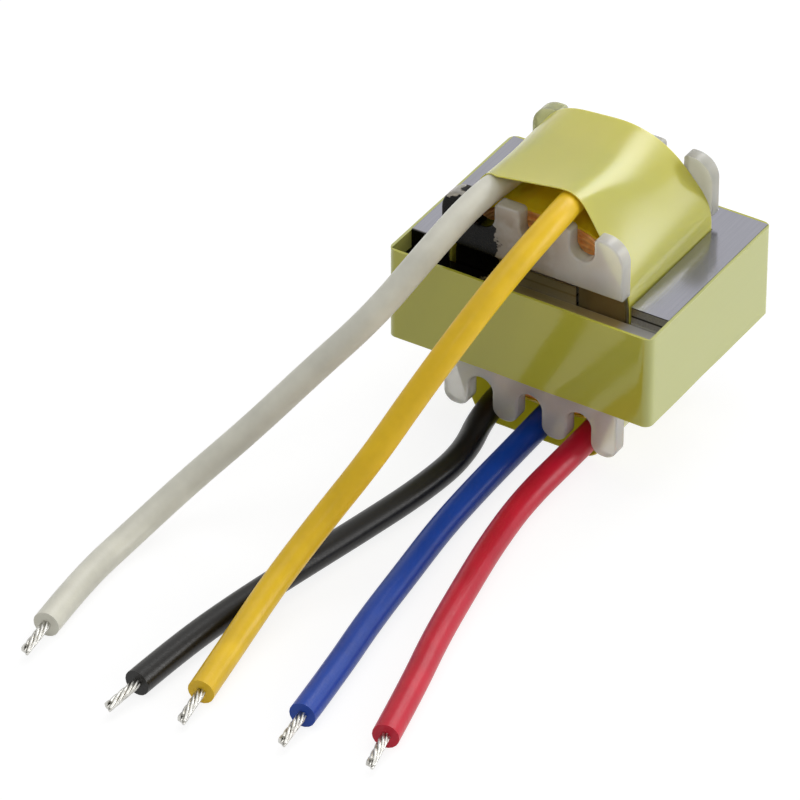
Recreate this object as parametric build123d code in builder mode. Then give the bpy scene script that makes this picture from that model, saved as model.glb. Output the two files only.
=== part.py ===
"""Small leaded audio transformer: EI core, nylon bobbin, taped coil and five stranded leads.

Millimetres, +Z up. The origin is under the middle of the coil, on the surface it rests on,
and the leads leave towards -Y.
"""
import math
import os

from build123d import *

os.makedirs("parts", exist_ok=True)

# Core laminations
tongue_width = 4.0
window_width = 3.0
window_length = 7.5
leg_width = 2.0
yoke_width = 1.75
sheet_thickness = 0.5
sheets_per_group = 2
group_count = 5
butt_gap = 0.02

# Tape round the core
core_tape_thickness = 0.15
core_tape_corner = 0.3

# Bobbin
bore_clearance = 0.1
tube_wall = 0.45
tube_corner = 0.3
window_end_clearance = 0.1
plate_thickness = 0.55
plate_side_clearance = 0.4
plate_corner = 1.0
wing_thickness = 0.75
wing_overhang = 0.75
wing_core_clearance = 0.65
ledge_height = 0.5
ledge_side_clearance = 1.3
finger_count = 4
finger_width = 1.38
upper_end_finger_width = 1.55
lower_end_finger_width = 1.38
upper_finger_reach = 6.15
lower_finger_reach = 6.02
upper_slot_depth = 1.5
lower_slot_depth = 2.0
slot_clearance = 0.01
upper_tip_radius = 0.2
upper_shoulder_radius = 1.15
lower_tip_radius = 0.62
wing_edge_radius = 0.12

# Windings and their insulation
winding_end_clearance = 0.02
primary_thickness = 0.75
insulation_thickness = 0.1
secondary_width = 8.36
secondary_height = 10.7
secondary_corner = 2.88
inner_wrap_thickness = 0.12

# Coil tape, pulled over the leads
coil_tape_thickness = 0.15
coil_tape_slack = 0.02
coil_tape_side_clearance = 0.1
coil_tape_side_radius = 0.6
coil_tape_side_drop = 0.27
coil_tape_end_clearance = 0.05
back_dome_right = (2.4, 0.91)
back_dome_right_radius = 1.8
back_dome_middle = (0.1, 1.48)
back_dome_middle_radius = 3.0
back_dome_left = (-2.2, 1.23)
back_dome_left_radius = 1.8

# Leads; an upper lead's exit is its place across the coil and its rise over the inner wrap
lead_diameter = 1.3
conductor_diameter = 0.48
lead_wrap_clearance = 0.06
lead_inner_end = 2.4
white_exit = (-2.7, 0.83)
yellow_exit = (1.55, 1.5)
tinned_length = 2.2
tinned_tip_chamfer = 0.1
joint_length = 0.85
joint_bead_diameter = 0.8
joint_neck = 0.15
bend_share = 0.45

# Sizes that follow from the driving dimensions
core_width = tongue_width + 2 * (window_width + leg_width)
core_depth = window_length + 2 * yoke_width
window_half_width = tongue_width / 2 + window_width
layer_count = sheets_per_group * group_count
stack_height = layer_count * sheet_thickness
slot_width = lead_diameter + 2 * slot_clearance
finger_pitch = finger_width + slot_width
slot_count = finger_count - 1
inner_wing_width = (slot_count - 1) * finger_width + slot_count * slot_width
wrap_width = secondary_width + 2 * inner_wrap_thickness
wrap_height = secondary_height + 2 * inner_wrap_thickness
wrap_corner = secondary_corner + inner_wrap_thickness
wrap_corner_x = wrap_width / 2 - wrap_corner
wrap_corner_z = wrap_height / 2 - wrap_corner
lead_standoff = lead_wrap_clearance + lead_diameter / 2
lower_lead_reach = wrap_height / 2 + lead_standoff
corner_lead_reach = wrap_corner_z + math.sqrt(
    (wrap_corner + lead_standoff) ** 2 - (finger_pitch - wrap_corner_x) ** 2
)
tape_build = coil_tape_slack + coil_tape_thickness
taped_lead_radius = lead_diameter / 2 + tape_build
mid_height = lower_lead_reach + taped_lead_radius
lower_lead_height = mid_height - lower_lead_reach
corner_lead_height = mid_height - corner_lead_reach
white_rise = wrap_height / 2 + white_exit[1]
yellow_rise = wrap_height / 2 + yellow_exit[1]

plate_outer = window_length / 2 - window_end_clearance
plate_inner = plate_outer - plate_thickness
wing_outer = window_length / 2 + wing_overhang
wing_inner = wing_outer - wing_thickness
wing_base = stack_height / 2 + wing_core_clearance
tube_bore_width = tongue_width + 2 * bore_clearance
tube_bore_height = stack_height + 2 * bore_clearance
tube_width = tube_bore_width + 2 * tube_wall
tube_height = tube_bore_height + 2 * tube_wall


def section_plane(y):
    """Cross-section of the coil at depth y, with +X across and +Z up from the core's middle."""
    return Plane(origin=(0, y, mid_height), x_dir=(1, 0, 0), z_dir=(0, -1, 0))


# Laminations, turned end for end from group to group; the top group has no I sheets
for layer in range(layer_count):
    group = layer // sheets_per_group
    facing = 1 if group % 2 == 0 else -1
    sheet_bottom = mid_height - stack_height / 2 + layer * sheet_thickness
    sheet_plane = Plane(origin=(0, 0, sheet_bottom), x_dir=(facing, 0, 0), z_dir=(0, 0, 1))

    with BuildPart() as e_lamination:
        with BuildSketch(sheet_plane):
            with Locations((0, yoke_width / 2)):
                Rectangle(core_width, window_length + yoke_width)
            with GridLocations(tongue_width + window_width, 0, 2, 1):
                Rectangle(window_width, window_length, mode=Mode.SUBTRACT)
        extrude(amount=sheet_thickness)
    e_name = f"e_lamination_{layer + 1:02d}"
    e_lamination.part.label = e_name
    export_step(e_lamination.part, f"parts/{e_name}.step")

    if group < group_count - 1:
        with BuildPart() as i_lamination:
            with BuildSketch(sheet_plane):
                with Locations((0, -(window_length + yoke_width + butt_gap) / 2)):
                    Rectangle(core_width, yoke_width - butt_gap)
            extrude(amount=sheet_thickness)
        i_name = f"i_lamination_{layer + 1:02d}"
        i_lamination.part.label = i_name
        export_step(i_lamination.part, f"parts/{i_name}.step")

# Band of tape round the edges of the stack
with BuildPart() as core_tape:
    with BuildSketch(Plane.XY.offset(mid_height)):
        RectangleRounded(
            core_width + 2 * core_tape_thickness, core_depth + 2 * core_tape_thickness, core_tape_corner
        )
        Rectangle(core_width, core_depth, mode=Mode.SUBTRACT)
    extrude(amount=stack_height / 2, both=True)
core_tape.part.label = "core_tape"
export_step(core_tape.part, "parts/core_tape.step")

# Bobbin: tube, plates inside the windows, and slotted wings that lie over the yokes
wings = [
    (
        1, upper_end_finger_width, upper_finger_reach, upper_slot_depth,
        upper_tip_radius, upper_shoulder_radius,
    ),
    (
        -1, lower_end_finger_width, lower_finger_reach, lower_slot_depth,
        lower_tip_radius, lower_tip_radius,
    ),
]
with BuildPart() as bobbin:
    with BuildSketch(section_plane(0)):
        RectangleRounded(tube_width, tube_height, tube_corner)
    extrude(amount=plate_outer, both=True)
    for end in (-1, 1):
        with BuildSketch(section_plane(end * plate_inner)):
            RectangleRounded(2 * (window_half_width - plate_side_clearance), 2 * wing_base, plate_corner)
        extrude(amount=-end * plate_thickness)
        for up, end_width, reach, depth, tip_radius, shoulder_radius in wings:
            ledge_middle = up * (wing_base + ledge_height / 2)
            with BuildSketch(section_plane(end * plate_inner)):
                with Locations((0, ledge_middle)):
                    Rectangle(2 * (window_half_width - ledge_side_clearance), ledge_height)
            extrude(amount=-end * (wing_outer - plate_inner))
            wing_plane = Plane(
                origin=(0, end * wing_inner, mid_height), x_dir=(-up * end, 0, 0), z_dir=(0, end, 0)
            )
            with BuildSketch(wing_plane) as wing:
                with Locations((0, wing_base)):
                    Rectangle(
                        inner_wing_width + 2 * end_width, reach - wing_base, align=(Align.CENTER, Align.MIN)
                    )
                with Locations((0, reach - depth + slot_width / 2)):
                    with GridLocations(finger_pitch, 0, slot_count, 1):
                        Circle(slot_width / 2, mode=Mode.SUBTRACT)
                        Rectangle(
                            slot_width, depth, align=(Align.CENTER, Align.MIN), mode=Mode.SUBTRACT
                        )
                tips = wing.vertices().group_by(Axis.Y)[-1].sort_by(Axis.X)
                fillet(tips[1:-1], tip_radius)
                shoulders = [
                    wing.vertices().group_by(Axis.X)[side].sort_by(Axis.Y)[-1] for side in (0, -1)
                ]
                fillet(shoulders, shoulder_radius)
            extrude(amount=wing_thickness)
    with BuildSketch(section_plane(0)):
        Rectangle(tube_bore_width, tube_bore_height)
    extrude(amount=wing_outer, both=True, mode=Mode.SUBTRACT)
    outer_faces = bobbin.faces().filter_by(Axis.Y)
    rims = outer_faces.group_by(Axis.Y)[0].edges() + outer_faces.group_by(Axis.Y)[-1].edges()
    fillet(rims, wing_edge_radius)
bobbin.part.label = "bobbin"
export_step(bobbin.part, "parts/bobbin.step")

# Windings and insulation, each a ring round the one before
primary_width = tube_width + 2 * primary_thickness
primary_height = tube_height + 2 * primary_thickness
insulated_width = primary_width + 2 * insulation_thickness
insulated_height = primary_height + 2 * insulation_thickness
primary_corner = tube_corner + primary_thickness
insulated_corner = primary_corner + insulation_thickness
winding_half_length = plate_inner - winding_end_clearance
rings = [
    (
        "primary_winding",
        (primary_width, primary_height, primary_corner),
        (tube_width, tube_height, tube_corner),
    ),
    (
        "winding_insulation",
        (insulated_width, insulated_height, insulated_corner),
        (primary_width, primary_height, primary_corner),
    ),
    (
        "secondary_winding",
        (secondary_width, secondary_height, secondary_corner),
        (insulated_width, insulated_height, insulated_corner),
    ),
    (
        "inner_wrap",
        (wrap_width, wrap_height, wrap_corner),
        (secondary_width, secondary_height, secondary_corner),
    ),
]
for ring_name, outside, inside in rings:
    with BuildPart() as ring:
        with BuildSketch(section_plane(0)):
            RectangleRounded(*outside)
            RectangleRounded(*inside, mode=Mode.SUBTRACT)
        extrude(amount=winding_half_length, both=True)
    ring.part.label = ring_name
    export_step(ring.part, f"parts/{ring_name}.step")

# Coil tape: a tight band whose front edge is tented over the two upper leads
tape_half_length = wing_inner - coil_tape_end_clearance
side_x = window_half_width - coil_tape_side_clearance - coil_tape_side_radius
side_z = wrap_corner_z - coil_tape_side_drop
side_circles = [
    (x, z, coil_tape_side_radius) for x in (-side_x, side_x) for z in (-side_z, side_z)
]
wrap_circles = [
    (x, z, wrap_corner + tape_build)
    for x in (-wrap_corner_x, wrap_corner_x)
    for z in (-wrap_corner_z, wrap_corner_z)
]
lower_circles = [(x, -lower_lead_reach, taped_lead_radius) for x in (-finger_pitch, finger_pitch)]
front_circles = [
    (yellow_exit[0], yellow_rise, taped_lead_radius),
    (white_exit[0], white_rise, taped_lead_radius),
]
back_circles = [
    (crown[0], wrap_height / 2 + crown[1] - radius, radius)
    for crown, radius in (
        (back_dome_right, back_dome_right_radius),
        (back_dome_middle, back_dome_middle_radius),
        (back_dome_left, back_dome_left_radius),
    )
]

with BuildPart() as coil_tape:
    for inset, tape_mode in ((0, Mode.ADD), (coil_tape_thickness, Mode.SUBTRACT)):
        for y, top_circles in ((-tape_half_length, front_circles), (tape_half_length, back_circles)):
            with BuildSketch(section_plane(y)):
                with BuildLine():
                    for x, z, radius in top_circles + side_circles + wrap_circles + lower_circles:
                        CenterArc((x, z), radius - inset, 0, 360)
                make_hull()
        loft(ruled=True, mode=tape_mode)
coil_tape.part.label = "coil_tape"
export_step(coil_tape.part, "parts/coil_tape.step")

# Leads: from the soldered end under the tape, out of the front and down to the surface
white_height = mid_height + white_rise
yellow_height = mid_height + yellow_rise
lead_routes = {
    "white": [
        (white_exit[0] + 0.15, 1.0, white_height - 0.31),
        (white_exit[0] + 0.04, -1.8, white_height - 0.16),
        (white_exit[0] - 0.05, -5.2, white_height + 0.12),
        (-3.1, -8.8, 12.4),
        (-4.2, -11.6, 10.2),
        (-6.3, -13.6, 7.5),
        (-8.6, -15.3, 4.4),
        (-10.6, -17.6, 2.0),
        (-11.6, -20.9, 0.66),
        (-11.6, -24.9, 0.66),
        (-11.1, -28.6, 0.66),
    ],
    "yellow": [
        (yellow_exit[0] - 0.6, 1.0, yellow_height - 0.78),
        (yellow_exit[0] - 0.35, -1.9, yellow_height - 0.31),
        (yellow_exit[0] + 0.15, -5.1, yellow_height + 0.13),
        (1.45, -8.8, 13.2),
        (0.8, -11.7, 11.45),
        (-0.3, -14.1, 8.8),
        (-1.5, -16.0, 5.9),
        (-2.7, -18.4, 3.4),
        (-3.2, -21.6, 1.75),
        (-3.0, -25.3, 0.8),
        (-2.4, -29.0, 0.66),
    ],
    "black": [
        (-finger_pitch, lead_inner_end, lower_lead_height),
        (-finger_pitch, -0.9, lower_lead_height),
        (-2.68, -4.2, 0.76),
        (-1.8, -7.4, 0.66),
        (-2.05, -10.9, 0.66),
        (-2.8, -14.8, 0.66),
        (-3.65, -18.8, 0.66),
        (-4.45, -22.8, 0.66),
        (-5.0, -26.6, 0.66),
        (-5.2, -30.0, 0.66),
    ],
    "blue": [
        (0, lead_inner_end, lower_lead_height),
        (0, -1.2, lower_lead_height),
        (0.05, -5.2, 0.72),
        (0.1, -9.0, 0.66),
        (0.3, -12.8, 0.66),
        (0.8, -16.8, 0.66),
        (1.25, -20.6, 0.66),
        (1.9, -24.4, 0.66),
        (2.38, -28.0, 0.66),
    ],
    "red": [
        (finger_pitch, lead_inner_end, corner_lead_height),
        (finger_pitch, -1.2, corner_lead_height),
        (2.64, -5.0, 0.95),
        (2.45, -8.9, 0.66),
        (2.95, -12.7, 0.66),
        (3.7, -16.4, 0.66),
        (4.5, -20.1, 0.66),
        (5.5, -23.7, 0.66),
        (6.35, -27.3, 0.66),
    ],
}


def bend_radii(points):
    """Radius at each inner point, as large as the two runs that meet there allow."""
    radii = []
    for before, here, after in zip(points, points[1:], points[2:]):
        run_in = Vector(*here) - Vector(*before)
        run_out = Vector(*after) - Vector(*here)
        half_turn = math.radians(run_in.get_angle(run_out)) / 2
        radii.append(bend_share * min(run_in.length, run_out.length) / math.tan(half_turn))
    return radii


for colour, points in lead_routes.items():
    radii = bend_radii(points)
    with BuildPart() as lead:
        with BuildLine() as route:
            FilletPolyline(*points, radius=radii)
        with BuildSketch(Plane(origin=points[0], z_dir=route.wire() % 0)):
            Circle(lead_diameter / 2)
        sweep()
    lead.part.label = f"lead_{colour}"
    export_step(lead.part, f"parts/lead_{colour}.step")
    lead_length = route.wire().length
    tube_volume = math.pi * (lead_diameter / 2) ** 2 * lead_length
    print(
        f"lead_{colour}: {lead_length:.1f} mm, radii {[round(radius, 1) for radius in radii]},",
        f"volume {lead.part.volume:.2f} of {tube_volume:.2f}",
    )

    last_run = Vector(*points[-1]) - Vector(*points[-2])
    with BuildPart() as tinned_end:
        with BuildSketch(Plane(origin=points[-1], z_dir=last_run)):
            Circle(conductor_diameter / 2)
        extrude(amount=tinned_length)
        chamfer(tinned_end.edges().sort_by_distance(points[-1])[-1], tinned_tip_chamfer)
    tinned_end.part.label = f"tinned_end_{colour}"
    export_step(tinned_end.part, f"parts/tinned_end_{colour}.step")

    first_run = Vector(*points[1]) - Vector(*points[0])
    across = first_run.cross(Vector(0, 0, 1))
    joint_plane = Plane(origin=points[0], x_dir=across.cross(first_run), z_dir=across)
    with BuildPart() as solder_joint:
        with BuildSketch(joint_plane):
            with BuildLine():
                bead_start = (conductor_diameter / 2, joint_neck)
                bead_end = (conductor_diameter / 2, joint_length - joint_neck)
                Polyline((0, joint_length), (0, 0), (conductor_diameter / 2, 0), bead_start)
                ThreePointArc(bead_start, (joint_bead_diameter / 2, joint_length / 2), bead_end)
                Polyline(bead_end, (conductor_diameter / 2, joint_length), (0, joint_length))
            make_face()
        revolve(axis=Axis(points[0], first_run))
    solder_joint.part.label = f"solder_joint_{colour}"
    export_step(solder_joint.part, f"parts/solder_joint_{colour}.step")
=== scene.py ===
"""Looks of a small leaded audio transformer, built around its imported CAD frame.

Metres, +Z up; sizes are written in millimetres times MM. The leads leave towards -Y.
"""
import math

import bmesh
import bpy
from mathutils import Matrix, Vector, noise


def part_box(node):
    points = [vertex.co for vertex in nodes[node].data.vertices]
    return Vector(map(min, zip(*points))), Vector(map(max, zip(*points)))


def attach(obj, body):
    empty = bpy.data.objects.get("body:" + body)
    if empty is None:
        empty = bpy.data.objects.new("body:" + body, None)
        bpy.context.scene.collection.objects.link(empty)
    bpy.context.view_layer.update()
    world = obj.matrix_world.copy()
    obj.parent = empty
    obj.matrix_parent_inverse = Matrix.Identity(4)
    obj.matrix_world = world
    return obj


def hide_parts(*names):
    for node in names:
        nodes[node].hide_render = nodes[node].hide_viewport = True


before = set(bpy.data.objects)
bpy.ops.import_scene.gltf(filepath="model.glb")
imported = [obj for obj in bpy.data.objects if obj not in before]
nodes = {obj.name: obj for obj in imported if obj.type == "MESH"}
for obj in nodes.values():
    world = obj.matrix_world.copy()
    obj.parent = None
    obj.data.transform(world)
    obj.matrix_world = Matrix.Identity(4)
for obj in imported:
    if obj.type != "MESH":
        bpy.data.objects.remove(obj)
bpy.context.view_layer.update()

MM = 0.001
BODY = "root"

# Camera, from the photograph's perspective
CAMERA_AZIMUTH = 32.047
CAMERA_ELEVATION = 35.996
CAMERA_DISTANCE = 350 * MM
CAMERA_AIM = Vector((-9.98, 0.0, -3.88)) * MM
CAMERA_NEAREST = 0.01
CAMERA_FARTHEST = 20
FOCAL_PIXELS = 7200.5
IMAGE_PIXELS = 800
SENSOR_WIDTH = 36

# Leads: the route of each from its soldered end to its stripped end, in millimetres.
LEAD_DIAMETER = 1.3 * MM
LEAD_ROUTES = {
    "white": [
        (-2.55, 1.0, 12.99), (-2.66, -1.8, 13.14), (-2.75, -5.2, 13.42), (-3.1, -8.8, 12.4),
        (-4.2, -11.6, 10.2), (-6.3, -13.6, 7.5), (-8.6, -15.3, 4.4), (-10.6, -17.6, 2.0),
        (-11.6, -20.9, 0.66), (-11.6, -24.9, 0.66), (-11.1, -28.6, 0.66),
    ],
    "yellow": [
        (0.95, 1.0, 13.19), (1.2, -1.9, 13.66), (1.7, -5.1, 14.1), (1.45, -8.8, 13.2),
        (0.8, -11.7, 11.45), (-0.3, -14.1, 8.8), (-1.5, -16.0, 5.9), (-2.7, -18.4, 3.4),
        (-3.2, -21.6, 1.75), (-3.0, -25.3, 0.8), (-2.4, -29.0, 0.66),
    ],
    "black": [
        (-2.7, 2.4, 0.82), (-2.7, -0.9, 0.82), (-2.68, -4.2, 0.76), (-1.8, -7.4, 0.66),
        (-2.05, -10.9, 0.66), (-2.8, -14.8, 0.66), (-3.65, -18.8, 0.66), (-4.45, -22.8, 0.66),
        (-5.0, -26.6, 0.66), (-5.2, -30.0, 0.66),
    ],
    "blue": [
        (0, 2.4, 0.82), (0, -1.2, 0.82), (0.05, -5.2, 0.72), (0.1, -9.0, 0.66), (0.3, -12.8, 0.66),
        (0.8, -16.8, 0.66), (1.25, -20.6, 0.66), (1.9, -24.4, 0.66), (2.38, -28.0, 0.66),
    ],
    "red": [
        (2.7, 2.4, 1.09), (2.7, -1.2, 1.09), (2.64, -5.0, 0.95), (2.45, -8.9, 0.66),
        (2.95, -12.7, 0.66), (3.7, -16.4, 0.66), (4.5, -20.1, 0.66), (5.5, -23.7, 0.66),
        (6.35, -27.3, 0.66),
    ],
}
LEAD_BEVEL_STEPS = 7
LEAD_PATH_STEPS = 12

# Stripped ends: six strands laid round a seventh, cut a little unevenly
STRAND_COUNT = 6
STRAND_RADIUS = 0.08 * MM
STRAND_LAY = 3.4 * MM
STRAND_STEPS = 20
STRAND_UNEVENNESS = 0.06
STRAND_PHASE = 2.4
TINNED_LENGTH = 2.2 * MM

# Secondary winding: loops of wire that show at its two ends
WIRE_RADIUS = 0.12 * MM
WIRE_LAYERS = 7
WIRE_STAGGER = 0.5
WIRE_SIDE_STEPS = 6
WIRE_CORNER_STEPS = 8
INNER_CORNER = 1.15 * MM
OUTER_CORNER = 2.88 * MM

TUBE_SIDES = 8


def linear(red, green, blue):
    """Scene colour of an sRGB colour given in 0 to 255."""
    def channel(value):
        share = value / 255
        return share / 12.92 if share <= 0.04045 else ((share + 0.055) / 1.055) ** 2.4
    return (channel(red), channel(green), channel(blue), 1.0)


def grey(level):
    """Grey of the given level, in scene colour."""
    return (level, level, level, 1.0)


INK = linear(8, 7, 4)
LEAD_COLOURS = {
    "white": linear(236, 234, 219),
    "yellow": linear(252, 207, 38),
    "black": linear(22, 20, 17),
    "blue": linear(10, 66, 168),
    "red": linear(206, 22, 52),
}


# Shader nodes

NOISE_ROUGHNESS = 0.55
NOISE_SPAN = (0.3, 0.7)


def add_node(tree, kind, inputs=None, **settings):
    """A shader node of that kind; inputs are values or sockets to link."""
    node = tree.nodes.new("ShaderNode" + kind)
    for key, value in settings.items():
        setattr(node, key, value)
    for key, value in (inputs or {}).items():
        if isinstance(value, bpy.types.NodeSocket):
            tree.links.new(value, node.inputs[key])
        else:
            node.inputs[key].default_value = value
    return node


def new_material(name, **sockets):
    """A material with one principled shader; sockets are its fixed values by name."""
    material = bpy.data.materials.new(name)
    material.use_nodes = True
    shader = material.node_tree.nodes["Principled BSDF"]
    for key, value in sockets.items():
        shader.inputs[key.replace("_", " ")].default_value = value
    return material, material.node_tree, shader


def place(tree, scale):
    """Row-frame coordinates, each axis times its scale in features per metre."""
    coordinates = add_node(tree, "TexCoord")
    return add_node(
        tree, "Mapping", {"Vector": coordinates.outputs["Object"], "Scale": scale}
    ).outputs["Vector"]


def speckle(tree, size, detail):
    """Noise whose features have the given size, one number or one for each axis."""
    sizes = size if isinstance(size, tuple) else (size, size, size)
    vector = place(tree, tuple(1 / value for value in sizes))
    return add_node(
        tree, "TexNoise",
        {"Vector": vector, "Scale": 1.0, "Detail": detail, "Roughness": NOISE_ROUGHNESS},
    ).outputs["Fac"]


def two_tone(tree, factor, first, second, low=NOISE_SPAN[0], high=NOISE_SPAN[1]):
    """Colour that runs from the first, where the factor is low, to the second, where it is high."""
    node = add_node(tree, "ValToRGB", {"Fac": factor})
    for element, position, colour in zip(node.color_ramp.elements, (low, high), (first, second)):
        element.position = position
        element.color = colour
    return node.outputs["Color"]


def span(tree, value, low, high, start=0.0, end=1.0):
    """Value mapped from low..high to start..end, held at both ends."""
    return add_node(
        tree, "MapRange",
        {"Value": value, "From Min": low, "From Max": high, "To Min": start, "To Max": end},
    ).outputs["Result"]


def maths(tree, operation, first, second=0.0):
    """One arithmetic step on one or two values or sockets."""
    node = tree.nodes.new("ShaderNodeMath")
    node.operation = operation
    for index, value in enumerate((first, second)):
        if isinstance(value, bpy.types.NodeSocket):
            tree.links.new(value, node.inputs[index])
        else:
            node.inputs[index].default_value = value
    return node.outputs["Value"]


def blend(tree, factor, first, second):
    """Mix of two colours, each a socket or a fixed colour."""
    node = add_node(tree, "Mix", data_type="RGBA")
    sockets = {socket.identifier: socket for socket in node.inputs}
    for key, value in (("Factor_Float", factor), ("A_Color", first), ("B_Color", second)):
        if isinstance(value, bpy.types.NodeSocket):
            tree.links.new(value, sockets[key])
        else:
            sockets[key].default_value = value
    return next(socket for socket in node.outputs if socket.identifier == "Result_Color")


def bump(tree, height, distance):
    """Surface normal with relief of the given height in metres."""
    return add_node(
        tree, "Bump", {"Height": height, "Distance": distance, "Strength": 1.0}
    ).outputs["Normal"]


def axes(tree):
    """The three coordinates of the row frame, in millimetres."""
    separate = add_node(tree, "SeparateXYZ", {"Vector": place(tree, (1 / MM,) * 3)})
    return separate.outputs["X"], separate.outputs["Y"], separate.outputs["Z"]


def all_of(tree, *masks):
    """Product of several masks."""
    product = masks[0]
    for mask in masks[1:]:
        product = maths(tree, "MULTIPLY", product, mask)
    return product


# Finishes

PLAIN_SHEEN = 0.5
INK_SHEEN = 0.12
STEEP = 0.5
SHEET_GAP = (0.36, 0.44)
LEAD_SHADE = 0.84

# Fields of colour on the core, the wings and the tape: where each begins and where it is full, in
# millimetres along one axis
CORE_FRONT = (-3.6, -3.8)
BELOW_TOP_SHEETS = (8.7, 8.6)
CORE_SHADE_RIGHT = (5.0, 4.4)
CORE_SHADE_FADE = (1.0, 4.4)
CORE_INK_FRONT = (-3.6, -3.7)
CORE_INK_RIGHT = (-2.6, -2.75)
CORE_INK_RAGGED = 0.45

BACK_WINGS = (3.2, 3.5)
BACK_WINGS_LEFT = (-1.0, -2.0)
WING_BOTTOM = (7.9, 8.1)
WING_SHADE_FRONT = (-3.4, -3.6)
WING_SHADE_TOP = (10.2, 10.1)
WING_INK_FRONT = (-3.5, -3.6)
WING_INK_RIGHT = (-1.74, -1.86)
WING_INK_TOP = (15.66, 15.56)
WING_INK_HEIGHT = 10.95
WING_INK_TAPER = 0.3
WING_INK_SLOPE = 0.65
WING_INK_RAGGED = 0.3
WARM_FRONT = (-3.3, -3.6)
WARM_RIGHT = (2.6, 0.6)
WARM_TOP = (14.2, 12.2)
WARM_BOTTOM = (9.9, 10.1)
WARM_STRENGTH = 0.75

TAPE_SIDE_SHEEN = (6.7, 7.12)


def steel_finish():
    """Bare silicon steel: rolled grain, dark joints between sheets, an ink splash; painted shade in
    brown under the front wings and painted light in pale grey on the lower front strip.
    """
    material, tree, shader = new_material("core_steel")
    x, y, z = axes(tree)
    grain = speckle(tree, (0.1 * MM, 4.0 * MM, 0.1 * MM), 2.0)
    stain = speckle(tree, 2.4 * MM, 2.0)
    colour = two_tone(tree, grain, linear(153, 153, 161), linear(160, 160, 168), 0.25, 0.75)
    colour = blend(tree, span(tree, stain, 0.5, 0.8, 0.0, 0.2), colour, linear(136, 134, 132))
    lowest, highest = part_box("e_lamination_01")
    above = maths(tree, "SUBTRACT", z, lowest.z / MM)
    layers = maths(tree, "DIVIDE", above, (highest.z - lowest.z) / MM)
    joint = maths(tree, "ABSOLUTE", maths(tree, "SUBTRACT", maths(tree, "FRACT", layers), 0.5))
    geometry = add_node(tree, "NewGeometry")
    normal = add_node(tree, "SeparateXYZ", {"Vector": geometry.outputs["Normal"]})
    upright = maths(tree, "LESS_THAN", maths(tree, "ABSOLUTE", normal.outputs["Z"]), STEEP)
    streaks = span(tree, grain, *NOISE_SPAN)
    sheared = blend(tree, streaks, linear(150, 147, 142), linear(172, 170, 166))
    colour = blend(tree, upright, colour, sheared)
    gap = all_of(tree, span(tree, joint, *SHEET_GAP), upright)
    colour = blend(tree, gap, colour, linear(34, 30, 26))
    # Painted light: pale matte grey on the lowest front sheets, standing in for their lit steel.
    painted_lit_strip = all_of(tree, span(tree, z, *BELOW_TOP_SHEETS), span(tree, y, *CORE_FRONT))
    colour = blend(tree, painted_lit_strip, colour, linear(190, 189, 190))
    # Painted shade: brown, in a varnish tone, over the front of the core under the wings, lighter
    # towards the right where the shade ends.
    varnish_and_shade = all_of(tree, span(tree, y, *CORE_FRONT), span(tree, x, *CORE_SHADE_RIGHT))
    fade = span(tree, x, *CORE_SHADE_FADE)
    brown = blend(tree, fade, linear(146, 132, 86), linear(190, 168, 116))
    colour = blend(tree, varnish_and_shade, colour, brown)
    rags = speckle(tree, 0.8 * MM, 3.0)
    ragged = span(tree, rags, *NOISE_SPAN, -CORE_INK_RAGGED, CORE_INK_RAGGED)
    edge = maths(tree, "ADD", x, ragged)
    ink = all_of(tree, span(tree, edge, *CORE_INK_RIGHT), span(tree, y, *CORE_INK_FRONT))
    colour = blend(tree, ink, colour, INK)
    # Ink, the painted shade and the painted light are not metallic.
    ink_and_painted_light = maths(tree, "MAXIMUM", maths(tree, "MAXIMUM", varnish_and_shade, ink), painted_lit_strip)
    sheen = span(tree, ink, 0, 1, PLAIN_SHEEN, INK_SHEEN)
    tree.links.new(colour, shader.inputs["Base Color"])
    tree.links.new(maths(tree, "SUBTRACT", 1.0, ink_and_painted_light), shader.inputs["Metallic"])
    tree.links.new(sheen, shader.inputs["Specular IOR Level"])
    tree.links.new(span(tree, stain, *NOISE_SPAN, 0.14, 0.2), shader.inputs["Roughness"])
    tree.links.new(bump(tree, grain, 0.001 * MM), shader.inputs["Normal"])
    return material


def tape_finish(name, pale, deep, glow, roughness):
    """Glossy polyester tape, deeper in colour, with a paler painted sheen on the sides of the core."""
    material, tree, shader = new_material(
        name, IOR=1.5, Subsurface_Weight=glow, Subsurface_Scale=0.5 * MM,
        Subsurface_Radius=(1.0, 0.9, 0.35),
    )
    x = axes(tree)[0]
    swell = speckle(tree, 3.2 * MM, 0.0)
    # Painted sheen: the sides of the core's tape are paler, for the bright surroundings they reflect.
    side_sheen = span(tree, maths(tree, "ABSOLUTE", x), *TAPE_SIDE_SHEEN)
    uneven = span(tree, swell, *NOISE_SPAN, roughness, roughness + 0.04)
    tree.links.new(blend(tree, side_sheen, deep, pale), shader.inputs["Base Color"])
    tree.links.new(uneven, shader.inputs["Roughness"])
    tree.links.new(bump(tree, swell, 0.02 * MM), shader.inputs["Normal"])
    return material


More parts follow.
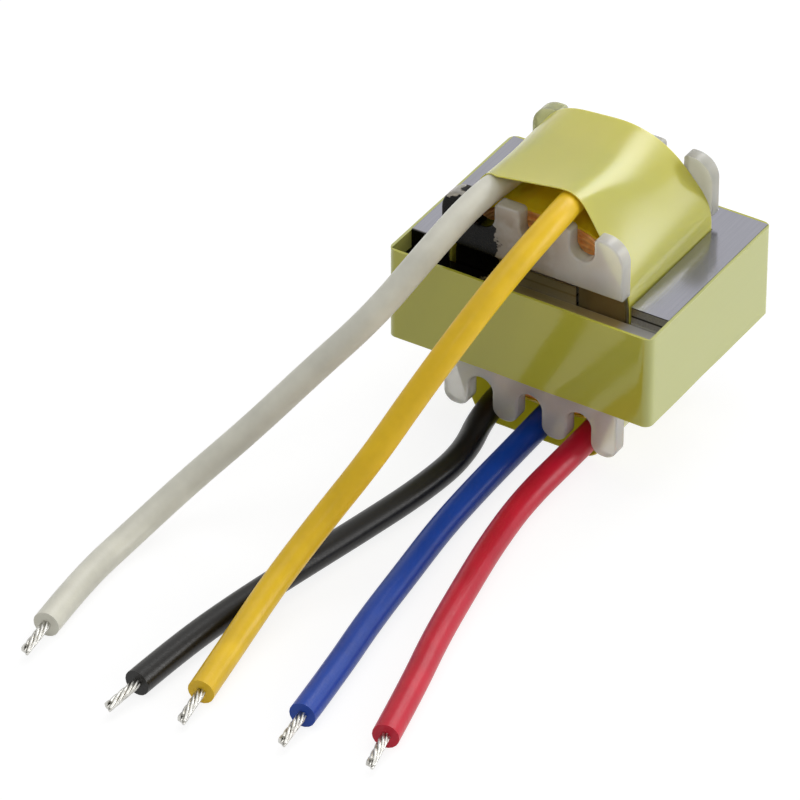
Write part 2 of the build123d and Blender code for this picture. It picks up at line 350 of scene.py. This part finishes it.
def nylon_finish():
    """Natural moulded nylon: milky, a little uneven, splashed with ink at the front; painted shade on
    the back wings and, in brown, low on the front wings, with a painted yellow reflection on the left
    back wing.
    """
    material, tree, shader = new_material(
        "bobbin_nylon", IOR=1.53, Subsurface_Weight=0.95, Subsurface_Scale=1.5 * MM,
        Subsurface_Radius=(1.0, 0.96, 0.88),
    )
    x, y, z = axes(tree)
    cloud = speckle(tree, 1.3 * MM, 3.0)
    colour = two_tone(tree, cloud, linear(238, 235, 224), linear(248, 246, 240))
    # Painted shade: the back wings a darker grey, with a painted yellow reflection of the tape on the
    # left one.
    left = span(tree, x, *BACK_WINGS_LEFT)
    back_shade_and_reflection = blend(tree, left, linear(214, 213, 203), linear(208, 210, 158))
    colour = blend(tree, span(tree, y, *BACK_WINGS), colour, back_shade_and_reflection)
    rags = speckle(tree, 0.7 * MM, 3.0)
    ragged = span(tree, rags, *NOISE_SPAN, -WING_INK_RAGGED, WING_INK_RAGGED)
    rise = maths(tree, "ABSOLUTE", maths(tree, "SUBTRACT", z, WING_INK_HEIGHT))
    taper = maths(tree, "MULTIPLY", rise, WING_INK_TAPER)
    right = maths(tree, "ADD", maths(tree, "ADD", x, taper), ragged)
    slope = maths(tree, "MULTIPLY", x, WING_INK_SLOPE)
    top = maths(tree, "SUBTRACT", maths(tree, "SUBTRACT", z, slope), ragged)
    ink = all_of(
        tree, span(tree, right, *WING_INK_RIGHT), span(tree, top, *WING_INK_TOP),
        span(tree, y, *WING_INK_FRONT), span(tree, z, *WING_BOTTOM),
    )
    # Painted shade: brown, in a varnish tone, on the front wings below the overhang.
    varnish_and_shade = all_of(
        tree, span(tree, y, *WING_SHADE_FRONT), span(tree, z, *WING_SHADE_TOP),
        span(tree, z, *WING_BOTTOM),
    )
    colour = blend(tree, varnish_and_shade, colour, linear(168, 146, 98))
    # Warmer, darker brown on the lower middle of the front wing, strongest towards the left.
    warm = all_of(
        tree, span(tree, x, *WARM_RIGHT, 0.0, WARM_STRENGTH), span(tree, z, *WARM_TOP),
        span(tree, z, *WARM_BOTTOM), span(tree, y, *WARM_FRONT),
        span(tree, cloud, 0.3, 0.55, 0.4, 1.0),
    )
    colour = blend(tree, warm, colour, linear(164, 142, 108))
    sheen = span(tree, ink, 0, 1, PLAIN_SHEEN, INK_SHEEN)
    fine = speckle(tree, 0.12 * MM, 2.0)
    tree.links.new(blend(tree, ink, colour, INK), shader.inputs["Base Color"])
    tree.links.new(sheen, shader.inputs["Specular IOR Level"])
    tree.links.new(span(tree, ink, 0, 1, 0.52, 0.0), shader.inputs["Transmission Weight"])
    tree.links.new(span(tree, fine, *NOISE_SPAN, 0.2, 0.26), shader.inputs["Roughness"])
    tree.links.new(bump(tree, fine, 0.0006 * MM), shader.inputs["Normal"])
    return material


def copper_finish():
    """Enamelled copper wire."""
    material, tree, shader = new_material(
        "copper_wire", Metallic=0.2, Roughness=0.32, Coat_Weight=0.5, Coat_Roughness=0.15
    )
    cloud = speckle(tree, 0.4 * MM, 2.0)
    colour = two_tone(tree, cloud, linear(244, 156, 74), linear(254, 196, 120))
    tree.links.new(colour, shader.inputs["Base Color"])
    return material


def film_finish():
    """Amber polyester film."""
    material, tree, shader = new_material(
        "insulation_film", Roughness=0.22, Subsurface_Weight=0.4, Subsurface_Scale=0.3 * MM,
        Subsurface_Radius=(1.0, 0.7, 0.1),
    )
    cloud = speckle(tree, 1.0 * MM, 2.0)
    colour = two_tone(tree, cloud, linear(250, 204, 24), linear(254, 220, 44))
    tree.links.new(colour, shader.inputs["Base Color"])
    return material


def lead_finish(name, colour):
    """Extruded PVC insulation with faint extrusion marks."""
    material, tree, shader = new_material(
        f"{name}_insulation", IOR=1.38, Subsurface_Weight=0.12, Subsurface_Scale=0.25 * MM,
        Subsurface_Radius=(1.0, 1.0, 1.0),
    )
    cloud = speckle(tree, 1.8 * MM, 3.0)
    darker = tuple(value * LEAD_SHADE for value in colour[:3]) + (1.0,)
    fine = speckle(tree, 0.15 * MM, 3.0)
    tree.links.new(two_tone(tree, cloud, darker, colour), shader.inputs["Base Color"])
    tree.links.new(span(tree, fine, *NOISE_SPAN, 0.3, 0.4), shader.inputs["Roughness"])
    tree.links.new(bump(tree, fine, 0.006 * MM), shader.inputs["Normal"])
    return material


def tinned_finish():
    """Tinned copper and solder."""
    material, tree, shader = new_material("tinned_copper", Metallic=1.0)
    cloud = speckle(tree, 0.25 * MM, 3.0)
    colour = two_tone(tree, cloud, linear(170, 168, 162), linear(214, 213, 208))
    tree.links.new(colour, shader.inputs["Base Color"])
    tree.links.new(span(tree, cloud, *NOISE_SPAN, 0.2, 0.38), shader.inputs["Roughness"])
    return material


STEEL = steel_finish()
CORE_TAPE = tape_finish("core_tape", linear(198, 201, 131), linear(186, 184, 66), 0.12, 0.07)
COIL_TAPE = tape_finish("coil_tape", linear(213, 205, 90), linear(213, 205, 90), 0.8, 0.19)
NYLON = nylon_finish()
COPPER = copper_finish()
FILM = film_finish()
TINNED = tinned_finish()
LEAD_FINISHES = {name: lead_finish(name, colour) for name, colour in LEAD_COLOURS.items()}


# Mesh pieces

def give(piece, material):
    """The piece's only material."""
    piece.data.materials.clear()
    piece.data.materials.append(material)


def new_piece(name, points, faces, material, slot, stands_for, sharp=35):
    """A mesh piece that stands for a CAD node, smooth but for edges past the sharp angle in degrees."""
    mesh = bpy.data.meshes.new(name)
    mesh.from_pydata([tuple(point) for point in points], [], faces)
    shape = bmesh.new()
    shape.from_mesh(mesh)
    bmesh.ops.recalc_face_normals(shape, faces=shape.faces)
    shape.to_mesh(mesh)
    shape.free()
    mesh.shade_smooth()
    mesh.set_sharp_from_angle(angle=math.radians(sharp))
    piece = bpy.data.objects.new(name, mesh)
    bpy.context.scene.collection.objects.link(piece)
    give(piece, material)
    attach(piece, BODY)
    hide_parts(stands_for)
    return piece


def join(parts):
    """One list of points and one of faces from several."""
    points, faces = [], []
    for part_points, part_faces in parts:
        start = len(points)
        points += part_points
        faces += [tuple(start + index for index in face) for face in part_faces]
    return points, faces


def band(outside, inside):
    """Closed band between two equal grids; each row is a closed loop of points."""
    rows = outside + inside[::-1]
    count = len(rows[0])
    faces = []
    for row in range(len(rows)):
        after = (row + 1) % len(rows)
        for step in range(count):
            ahead = (step + 1) % count
            faces.append((
                row * count + step, row * count + ahead,
                after * count + ahead, after * count + step,
            ))
    return [point for loop in rows for point in loop], faces


def tube(path, radius, reference, closed=False):
    """Round tube along a path; reference is a direction that the path never follows."""
    count = len(path)
    points, faces = [], []
    for index, centre in enumerate(path):
        before = path[index - 1] if closed or index > 0 else centre
        after = path[(index + 1) % count] if closed or index < count - 1 else centre
        along = (after - before).normalized()
        side = along.cross(reference).normalized()
        rise = side.cross(along)
        for step in range(TUBE_SIDES):
            turn = 2 * math.pi * step / TUBE_SIDES
            points.append(centre + (side * math.cos(turn) + rise * math.sin(turn)) * radius)
    for index in range(count if closed else count - 1):
        ahead = (index + 1) % count
        for step in range(TUBE_SIDES):
            beside = (step + 1) % TUBE_SIDES
            faces.append((
                index * TUBE_SIDES + step, index * TUBE_SIDES + beside,
                ahead * TUBE_SIDES + beside, ahead * TUBE_SIDES + step,
            ))
    if not closed:
        faces.append(tuple(range(TUBE_SIDES)))
        faces.append(tuple(range((count - 1) * TUBE_SIDES, count * TUBE_SIDES)))
    return points, faces


def heading(degrees):
    """Unit (across, up) pair at an angle from across."""
    turn = math.radians(degrees)
    return Vector((math.cos(turn), math.sin(turn)))


def rounded_outline(half_width, half_height, radius, side_steps, corner_steps):
    """Rounded rectangle as (across, up) pairs, counter-clockwise from the right of its lower edge."""
    centres = [
        Vector((sign_x * (half_width - radius), sign_z * (half_height - radius)))
        for sign_x, sign_z in ((1, -1), (1, 1), (-1, 1), (-1, -1))
    ]
    outline = []
    for index, centre in enumerate(centres):
        for step in range(corner_steps):
            outline.append(centre + radius * heading(90 * (index - 1) + 90 * step / corner_steps))
        start = centre + radius * heading(90 * index)
        finish = centres[(index + 1) % 4] + radius * heading(90 * index)
        for step in range(side_steps):
            outline.append(start.lerp(finish, step / side_steps))
    return outline


def smooth(value, low, high):
    """Smooth step from 0 at low to 1 at high; low may be the larger."""
    share = min(1.0, max(0.0, (value - low) / (high - low)))
    return share * share * (3 - 2 * share)


def unevenness(point, size):
    """Slow noise from -1 to 1 with features of the given size."""
    return noise.noise(Vector(point) / size)


# Coil tape, in millimetres: the circles that each end is pulled round, as (across, up, radius) from
# the coil's axis, and the tape's own sizes. A setback or ripple is none at the first value of its
# range and full at the second.

COIL_AXIS_HEIGHT = 7.0
COIL_CIRCLES = [
    (-4.3, -2.2, 0.6), (4.3, -2.2, 0.6), (-4.3, 2.2, 0.6), (4.3, 2.2, 0.6),
    (-1.3, -2.47, 3.17), (1.3, -2.47, 3.17), (-1.3, 2.47, 3.17), (1.3, 2.47, 3.17),
    (-2.7, -6.18, 0.82), (2.7, -6.18, 0.82),
]
FRONT_CIRCLES = COIL_CIRCLES + [(1.55, 6.97, 0.82), (-2.7, 6.3, 0.82), (3.2, 2.75, 1.62)]
BACK_CIRCLES = COIL_CIRCLES + [(2.6, 3.0, 2.35), (0.1, 2.25, 4.7), (-2.0, 4.2, 2.55)]
OUTLINE_STEPS = 720
OUTLINE_SPACING = 0.1
SMALLEST_TURN = 1e-9
EASE_STEPS = 4
EASE_PASSES = 2
COIL_TAPE_THICKNESS = 0.07
COIL_TAPE_ROWS = 40
COIL_TAPE_STEPS = 420
LEFT_EDGE_SETBACK = 0.35
SETBACK_ACROSS = (-2.3, -3.2)
SETBACK_UP = (2.6, 4.2)
TENT_FADE = 1.6
RIPPLE = 0.025
RIPPLE_LENGTH = 3.0
RIPPLE_HEIGHT = (9.6, 10.6)


def pulled_round(circles):
    """Closed outline of a band pulled tight round the circles."""
    corners = []
    for step in range(OUTLINE_STEPS):
        turn = 2 * math.pi * step / OUTLINE_STEPS
        normal = Vector((math.sin(turn), math.cos(turn)))
        across, up, radius = max(circles, key=lambda c: c[0] * normal.x + c[1] * normal.y + c[2])
        corners.append(Vector((across, up)) + normal * radius)
    outline = []
    for first, second in zip(corners, corners[1:] + corners[:1]):
        pieces = max(1, math.ceil((second - first).length / OUTLINE_SPACING))
        outline += [first.lerp(second, piece / pieces) for piece in range(pieces)]
    return outline


def tape_turn(step):
    """Angle of a step round the coil, from straight down round to it again."""
    return 2 * math.pi * step / COIL_TAPE_STEPS - math.pi


def radii_round(outline):
    """Distances from the axis to the outline at each step round the coil, with corners eased."""
    known = sorted((math.atan2(point.x, point.y), point.length) for point in outline)
    before_first = (known[-1][0] - 2 * math.pi, known[-1][1])
    after_last = (known[0][0] + 2 * math.pi, known[0][1])
    known = [before_first] + known + [after_last]
    radii, index = [], 0
    for step in range(COIL_TAPE_STEPS):
        turn = tape_turn(step)
        while known[index + 1][0] < turn:
            index += 1
        (low, first), (high, second) = known[index], known[index + 1]
        radii.append(first + (second - first) * (turn - low) / max(high - low, SMALLEST_TURN))
    near = range(-EASE_STEPS, EASE_STEPS + 1)
    for _ in range(EASE_PASSES):
        radii = [
            sum(radii[(step + offset) % COIL_TAPE_STEPS] for offset in near) / len(near)
            for step in range(COIL_TAPE_STEPS)
        ]
    return radii


def make_coil_tape():
    """The coil's tape as a thin band: tented over two leads at the front, an even arch at the back."""
    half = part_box("coil_tape")[1].y / MM
    front_radii = radii_round(pulled_round(FRONT_CIRCLES))
    back_radii = radii_round(pulled_round(BACK_CIRCLES))
    outside, inside = [], []
    for row in range(COIL_TAPE_ROWS + 1):
        outer_loop, inner_loop = [], []
        for step, (front, back) in enumerate(zip(front_radii, back_radii)):
            turn = tape_turn(step)
            away = Vector((math.sin(turn), 0, math.cos(turn)))
            setback = LEFT_EDGE_SETBACK * smooth(front * away.x, *SETBACK_ACROSS)
            setback *= smooth(front * away.z, *SETBACK_UP)
            reach = setback + (2 * half - setback) * row / COIL_TAPE_ROWS
            flatness = 1 - max(0.0, 1 - reach / (2 * half)) ** TENT_FADE
            radius = front + (back - front) * flatness
            point = away * radius + Vector((0, reach - half, COIL_AXIS_HEIGHT))
            point += away * RIPPLE * unevenness(point, RIPPLE_LENGTH) * smooth(point.z, *RIPPLE_HEIGHT)
            outer_loop.append(point * MM)
            inner_loop.append((point - away * COIL_TAPE_THICKNESS) * MM)
        outside.append(outer_loop)
        inside.append(inner_loop)
    new_piece(
        "coil_tape_wrap", *band(outside, inside), COIL_TAPE, "coil_tape", "coil_tape", sharp=40
    )


# Core tape: a band round the stack with a lapped end at the back. The lap rises from the first value
# of its range to the second, and ends the same way.

CORE_TAPE_THICKNESS = 0.15 * MM
CORE_TAPE_CORNER = 0.42 * MM
CORE_TAPE_INNER_CORNER = 0.02 * MM
CORE_TAPE_ROWS = 24
SIDE_STEPS = 46
CORNER_STEPS = 8
LAP_STEP = 0.07 * MM
LAP_RISE = (-6.0 * MM, -5.0 * MM)
LAP_END = (2.04 * MM, 2.0 * MM)
LAP_TOLERANCE = 0.01 * MM
SHEET_RIDGE = 0.008 * MM
EDGE_WANDER = 0.05 * MM
EDGE_WANDER_LENGTH = 2.4 * MM
FACE_WANDER = 0.025 * MM
FACE_WANDER_LENGTH = 2.8 * MM


def make_core_tape():
    """The core's tape: lightly ridged by the sheets, with wandering edges and a lapped end."""
    lowest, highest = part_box("core_tape")
    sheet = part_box("e_lamination_01")
    sheet_height = sheet[1].z - sheet[0].z
    outer_line = rounded_outline(highest.x, highest.y, CORE_TAPE_CORNER, SIDE_STEPS, CORNER_STEPS)
    inner_line = rounded_outline(
        highest.x - CORE_TAPE_THICKNESS, highest.y - CORE_TAPE_THICKNESS, CORE_TAPE_INNER_CORNER,
        SIDE_STEPS, CORNER_STEPS,
    )
    outside, inside = [], []
    for row in range(CORE_TAPE_ROWS + 1):
        share = row / CORE_TAPE_ROWS
        outer_loop, inner_loop = [], []
        for far, near in zip(outer_line, inner_line):
            edge = unevenness((far.x, far.y, 0), EDGE_WANDER_LENGTH)
            wander = EDGE_WANDER * (0.5 + 0.5 * edge)
            z = lowest.z + wander + (highest.z - lowest.z - 2 * wander) * share
            away = Vector((far.x - near.x, far.y - near.y, 0)).normalized()
            lap = LAP_STEP * smooth(far.x, *LAP_RISE) * smooth(far.x, *LAP_END)
            lap *= 1 if far.y > highest.y - LAP_TOLERANCE else 0
            ridge = SHEET_RIDGE * abs(math.sin(math.pi * (z - lowest.z) / sheet_height))
            swell = FACE_WANDER * unevenness((far.x, far.y, z), FACE_WANDER_LENGTH)
            inset = min(0.0, swell) if lap == 0 else 0
            outer_loop.append(Vector((far.x, far.y, z)) + away * (lap + inset - ridge))
            inner_loop.append(Vector((near.x, near.y, z)))
        outside.append(outer_loop)
        inside.append(inner_loop)
    new_piece(
        "core_tape_wrap", *band(outside, inside), CORE_TAPE, "core_tape", "core_tape", sharp=40
    )


def make_winding():
    """The secondary winding, with its loops of wire modelled at both ends."""
    lowest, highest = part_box("secondary_winding")
    inner_low, inner_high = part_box("winding_insulation")
    middle = (lowest.z + highest.z) / 2
    half_inner = Vector((inner_high.x, (inner_high.z - inner_low.z) / 2))
    half_outer = Vector((highest.x, (highest.z - lowest.z) / 2))

    def loop(half, corner, y):
        """Rounded loop round the coil's axis, at one place along it."""
        outline = rounded_outline(half.x, half.y, corner, WIRE_SIDE_STEPS, WIRE_CORNER_STEPS)
        return [Vector((across, y, middle + up)) for across, up in outline]

    parts = []
    for end in (-1, 1):
        for layer in range(WIRE_LAYERS):
            share = layer / (WIRE_LAYERS - 1)
            inward = Vector((WIRE_RADIUS,) * 2) * (1 - 2 * share)
            half = half_inner.lerp(half_outer, share) + inward
            corner = INNER_CORNER + (OUTER_CORNER - INNER_CORNER) * share
            recess = WIRE_RADIUS * (1 + WIRE_STAGGER * (layer % 2))
            path = loop(half, corner, end * (highest.y - recess))
            parts.append(tube(path, WIRE_RADIUS, Vector((0, 1, 0)), closed=True))
    ends = (lowest.y + 2 * WIRE_RADIUS, highest.y - 2 * WIRE_RADIUS)
    rows_out = [loop(half_outer, OUTER_CORNER, y) for y in ends]
    rows_in = [loop(half_inner, INNER_CORNER, y) for y in ends]
    parts.append(band(rows_out, rows_in))
    new_piece("secondary_wire", *join(parts), COPPER, "copper_wire", "secondary_winding")


def dress_cad_nodes():
    """Finishes of the CAD nodes, by the start of their names."""
    finishes = {
        "e_lamination": (STEEL, "core_steel"),
        "i_lamination": (STEEL, "core_steel"),
        "core_tape": (CORE_TAPE, "core_tape"),
        "bobbin": (NYLON, "bobbin_nylon"),
        "primary_winding": (COPPER, "copper_wire"),
        "secondary_winding": (COPPER, "copper_wire"),
        "winding_insulation": (FILM, "insulation_film"),
        "inner_wrap": (FILM, "insulation_film"),
        "coil_tape": (COIL_TAPE, "coil_tape"),
        "tinned_end": (TINNED, "tinned_copper"),
        "solder_joint": (TINNED, "tinned_copper"),
    }
    for name, node in nodes.items():
        for start, (material, slot) in finishes.items():
            if name.startswith(start):
                give(node, material)


# Leads

def new_route(name, route):
    """A curve with one smooth spline whose control points are the route."""
    curve = bpy.data.curves.new(name, "CURVE")
    curve.dimensions = "3D"
    spline = curve.splines.new("NURBS")
    spline.points.add(len(route) - 1)
    for point, place_mm in zip(spline.points, route):
        point.co = (*(Vector(place_mm) * MM), 1.0)
    spline.order_u = 3
    spline.use_endpoint_u = True
    return curve


def make_lead(colour, route):
    """One lead: a smooth round tube along its route."""
    curve = new_route(f"{colour}_lead", route)
    curve.bevel_depth = LEAD_DIAMETER / 2
    curve.bevel_resolution = LEAD_BEVEL_STEPS
    curve.resolution_u = LEAD_PATH_STEPS
    curve.use_fill_caps = True
    lead = bpy.data.objects.new(f"{colour}_lead", curve)
    bpy.context.scene.collection.objects.link(lead)
    give(lead, LEAD_FINISHES[colour])
    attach(lead, BODY)
    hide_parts(f"lead_{colour}")
    return lead


def make_strands(colour, route):
    """The stripped end of a lead: twisted, tinned strands."""
    start, before = Vector(route[-1]) * MM, Vector(route[-2]) * MM
    along = (start - before).normalized()
    up = Vector((0, 0, 1))
    side = along.cross(up).normalized()
    rise = side.cross(along)
    parts = [tube([start, start + along * TINNED_LENGTH], STRAND_RADIUS, up)]
    for strand in range(STRAND_COUNT):
        spread = STRAND_UNEVENNESS * math.cos(STRAND_PHASE * strand)
        length = TINNED_LENGTH * (1 - STRAND_UNEVENNESS + spread)
        path = []
        for step in range(STRAND_STEPS + 1):
            reach = length * step / STRAND_STEPS
            turn = 2 * math.pi * (strand / STRAND_COUNT + reach / STRAND_LAY)
            around = side * math.cos(turn) + rise * math.sin(turn)
            path.append(start + along * reach + around * 2 * STRAND_RADIUS)
        parts.append(tube(path, STRAND_RADIUS, up))
    return new_piece(
        f"{colour}_strands", *join(parts), TINNED, "tinned_copper", f"tinned_end_{colour}", sharp=60
    )


def make_leads():
    """All leads, each with its stripped end."""
    for colour, route in LEAD_ROUTES.items():
        lead = make_lead(colour, route)
        strands = make_strands(colour, route)
        length = new_route("measure", route).splines[0].calc_length()


# Stage: the floor's and the surroundings' levels, and the lamps as direction from the coil, line of
# the first side, size in metres and power in watts

FLOOR_HALF = 2.0
FLOOR_GLOW = 0.84
FLOOR_SHADED = 0.24
FLOOR_BOUNCE = 0.86
WORLD_FILL = 0.32
WORLD_SEEN = 1.0
LAMP_AIM = Vector((0, 0, 7 * MM))
LAMP_DISTANCE = 0.6
LAMPS = {
    "high_strip": ((0.11, 0.84, 0.53), (-0.40, -0.10, 0.35), (0.40, 0.17), 1.15),
    "low_strip": ((0.80, 0.55, 0.243), (-0.15, 0.07, 0.21), (0.34, 0.16), 1.1),
    "side": ((0.95, 0.0, 0.3), (0, 1, 0), (0.5, 0.5), 0.25),
    "front": ((0.30, -0.62, 0.72), (1, 0, 0), (0.12, 0.12), 0.22),
    "top": ((-0.1, 0.1, 1.0), (1, 0, 0), (0.5, 0.5), 0.95),
}


def seen_rays(tree):
    """1 for rays from the camera, reflections and see-through pieces, 0 for the rest."""
    path = add_node(tree, "LightPath")
    seen = maths(tree, "MAXIMUM", path.outputs["Is Camera Ray"], path.outputs["Is Glossy Ray"])
    return maths(tree, "MAXIMUM", seen, path.outputs["Is Transmission Ray"])


def make_floor():
    """Plain pale floor that shows white to the camera and keeps a soft shadow."""
    half = FLOOR_HALF
    mesh = bpy.data.meshes.new("floor")
    mesh.from_pydata(
        [(-half, -half, 0), (half, -half, 0), (half, half, 0), (-half, half, 0)], [], [(0, 1, 2, 3)]
    )
    floor = bpy.data.objects.new("floor", mesh)
    bpy.context.scene.collection.objects.link(floor)
    material = bpy.data.materials.new("floor")
    material.use_nodes = True
    tree = material.node_tree
    tree.nodes.clear()
    seen = seen_rays(tree)
    plain = add_node(tree, "BsdfDiffuse", {"Color": grey(FLOOR_BOUNCE)})
    bright = add_node(tree, "Emission", {"Color": grey(1.0), "Strength": FLOOR_GLOW})
    shaded = add_node(tree, "BsdfDiffuse", {"Color": grey(FLOOR_SHADED)})
    both = add_node(tree, "AddShader")
    tree.links.new(bright.outputs[0], both.inputs[0])
    tree.links.new(shaded.outputs[0], both.inputs[1])
    mix = add_node(tree, "MixShader", {"Fac": seen})
    tree.links.new(plain.outputs[0], mix.inputs[1])
    tree.links.new(both.outputs[0], mix.inputs[2])
    out = add_node(tree, "OutputMaterial")
    tree.links.new(mix.outputs[0], out.inputs["Surface"])
    mesh.materials.append(material)


def make_world():
    """White surroundings for the camera and for reflections, plainer light for the rest."""
    world = bpy.data.worlds.new("studio")
    bpy.context.scene.world = world
    world.use_nodes = True
    tree = world.node_tree
    tree.nodes.clear()
    strength = span(tree, seen_rays(tree), 0, 1, WORLD_FILL, WORLD_SEEN)
    background = add_node(tree, "Background", {"Color": grey(1.0), "Strength": strength})
    out = add_node(tree, "OutputWorld")
    tree.links.new(background.outputs[0], out.inputs["Surface"])


def make_lamp(name, direction, along, size, power):
    """A rectangular area lamp that looks at the coil, its first side laid along the given line."""
    data = bpy.data.lights.new(name, "AREA")
    data.shape = "RECTANGLE"
    data.size, data.size_y = size
    data.energy = power
    lamp = bpy.data.objects.new(name, data)
    bpy.context.scene.collection.objects.link(lamp)
    away = Vector(direction).normalized()
    lamp.location = LAMP_AIM + away * LAMP_DISTANCE
    side = Vector(along)
    side = (side - away * side.dot(away)).normalized()
    lamp.rotation_mode = "QUATERNION"
    lamp.rotation_quaternion = Matrix((side, away.cross(side), away)).transposed().to_quaternion()


def make_lamps():
    """Two strips behind that streak the coil, a small lamp that streaks the leads, two broad fills."""
    for name, settings in LAMPS.items():
        make_lamp(name, *settings)


def make_camera():
    """The photograph's viewpoint."""
    data = bpy.data.cameras.new("camera")
    data.sensor_width = SENSOR_WIDTH
    data.lens = SENSOR_WIDTH * FOCAL_PIXELS / IMAGE_PIXELS
    data.clip_start = CAMERA_NEAREST
    data.clip_end = CAMERA_FARTHEST
    camera = bpy.data.objects.new("camera", data)
    bpy.context.scene.collection.objects.link(camera)
    azimuth, elevation = math.radians(CAMERA_AZIMUTH), math.radians(CAMERA_ELEVATION)
    back = Vector((
        math.sin(azimuth) * math.cos(elevation),
        -math.cos(azimuth) * math.cos(elevation),
        math.sin(elevation),
    ))
    camera.location = CAMERA_AIM + back * CAMERA_DISTANCE
    camera.rotation_mode = "QUATERNION"
    camera.rotation_quaternion = (-back).to_track_quat("-Z", "Y")
    bpy.context.scene.camera = camera


make_camera()
make_leads()
dress_cad_nodes()
make_coil_tape()
make_core_tape()
make_winding()
make_floor()
make_world()
make_lamps()
bpy.context.scene.view_settings.view_transform = "Standard"
